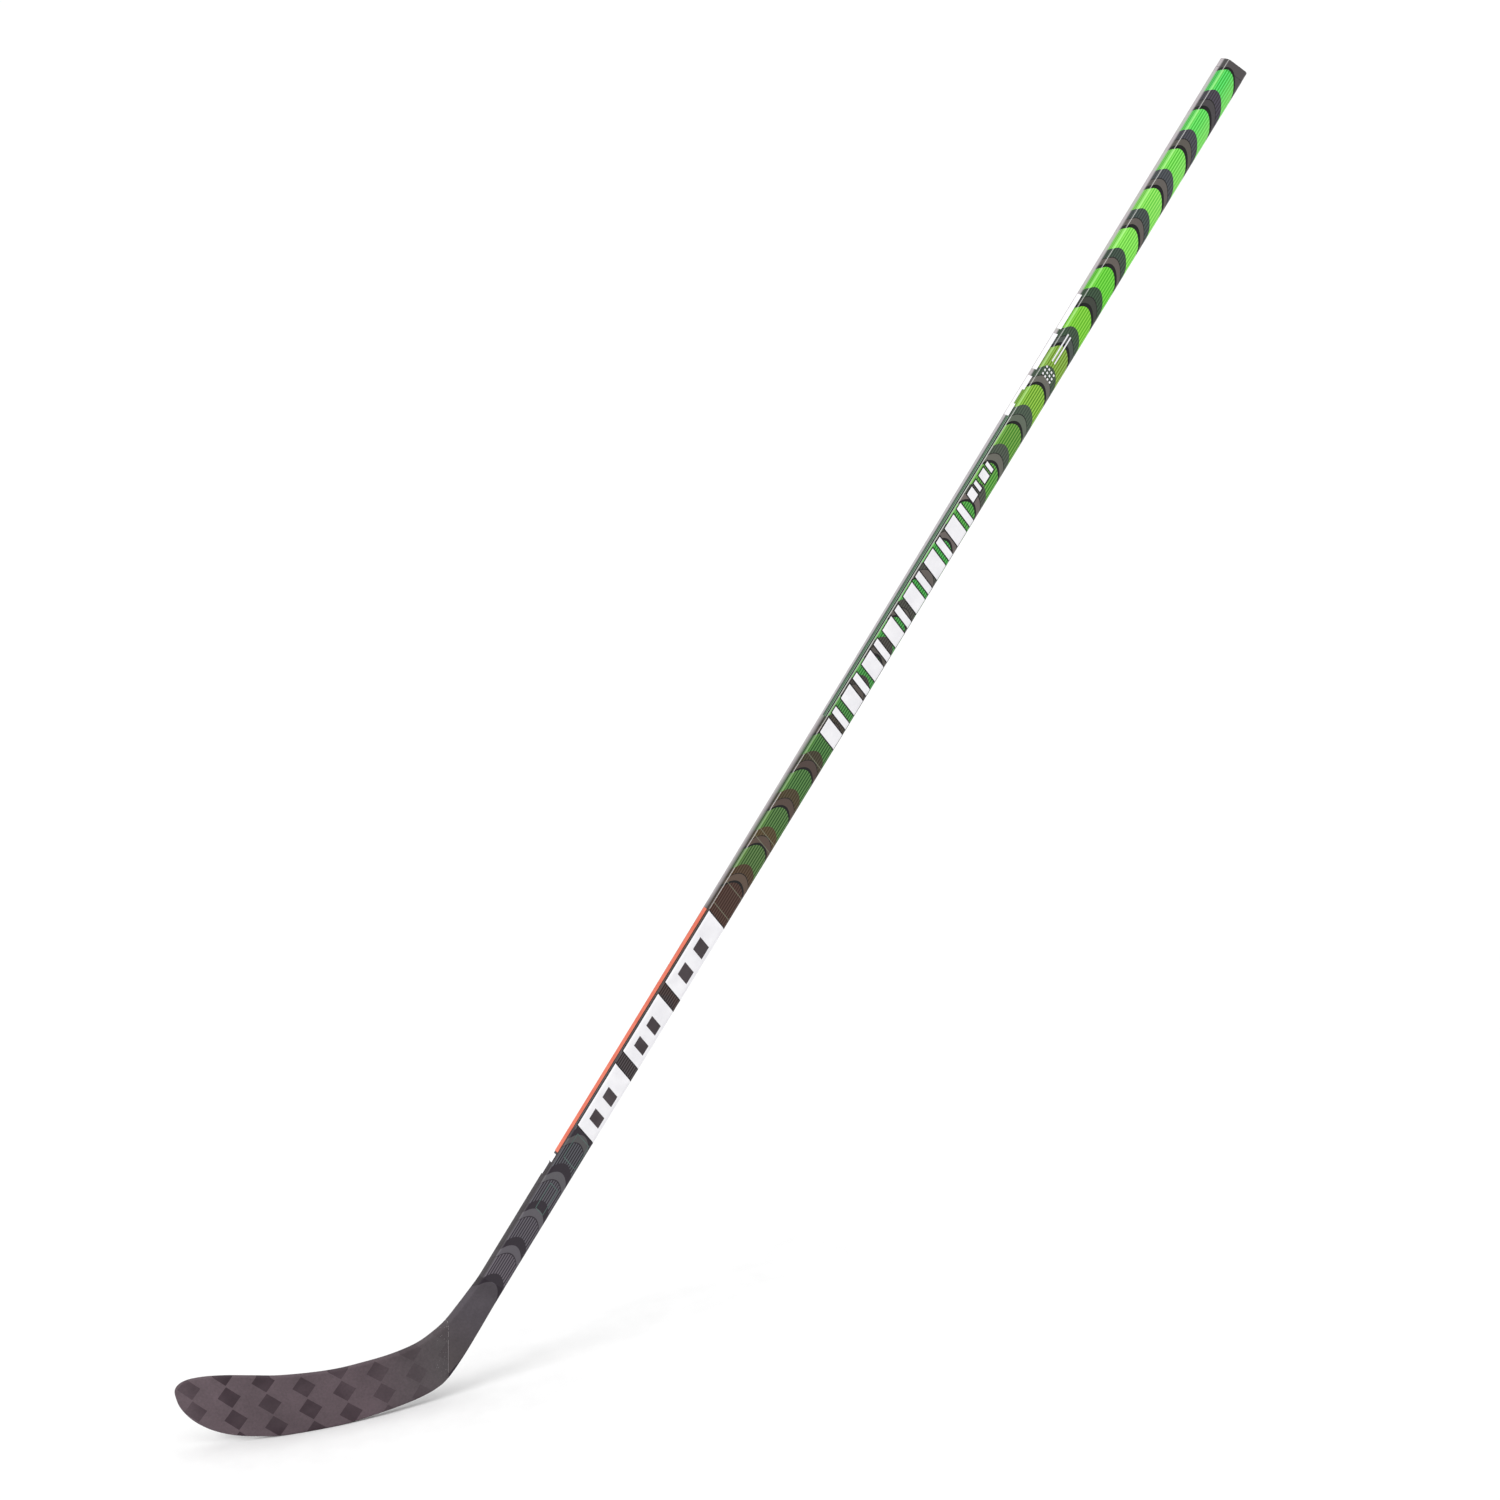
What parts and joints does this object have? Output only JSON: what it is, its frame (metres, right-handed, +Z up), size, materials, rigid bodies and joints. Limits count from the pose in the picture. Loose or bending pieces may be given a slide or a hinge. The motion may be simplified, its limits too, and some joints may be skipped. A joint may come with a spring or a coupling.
{
  "type": "ice hockey stick",
  "caption": "Left-handed one-piece composite ice hockey stick: hollow rectangular shaft with a butt plug, hosel overwrap and a curved foam-cored carbon blade.",
  "frame": {"origin": "middle of the flat strip of the blade's bottom edge that rests on the floor", "axes": "+Z up, blade upright; -X towards the toe and +X the way the shaft leans as it rises; +Y the hollow forehand side, -Y the rounded backhand side"},
  "size_m": [1.3107, 0.0718, 1.1977],
  "materials": {
    "shaft_finish": "clear-coated carbon tube printed with a green and dark grey scale pattern",
    "butt_plug": "moulded, satin",
    "carbon": "bare carbon laminate",
    "foam": "closed-cell foam",
    "epoxy": "cured structural epoxy",
    "hosel_finish": "matt carbon overwrap with a fine speckle",
    "blade_finish": "matt spread-tow carbon weave",
    "edge_finish": "matt carbon edge",
    "white_ink": "printed film",
    "coral_ink": "printed film"
  },
  "bodies": {
    "root": {"shaft_tube": "shaft_finish", "butt_cap": "butt_plug", "hosel_tenon": "carbon", "tenon_core": "foam", "tenon_bond": "epoxy", "hosel_wrap": "hosel_finish", "heel_core": "foam", "skin_backhand": "blade_finish", "skin_forehand": "blade_finish", "core_upper": "foam", "core_lower": "foam", "core_bridge": "carbon", "edge_bottom": "edge_finish", "edge_toe": "edge_finish", "edge_top": "edge_finish", "film_backhand_large": "white_ink", "film_backhand_long": "white_ink", "film_backhand_small": "white_ink", "film_forehand_large": "white_ink", "film_forehand_long": "white_ink", "film_upper_panel": "white_ink", "film_upper_stripe": "coral_ink", "film_upper_tab": "white_ink"}
  },
  "joints": []
}
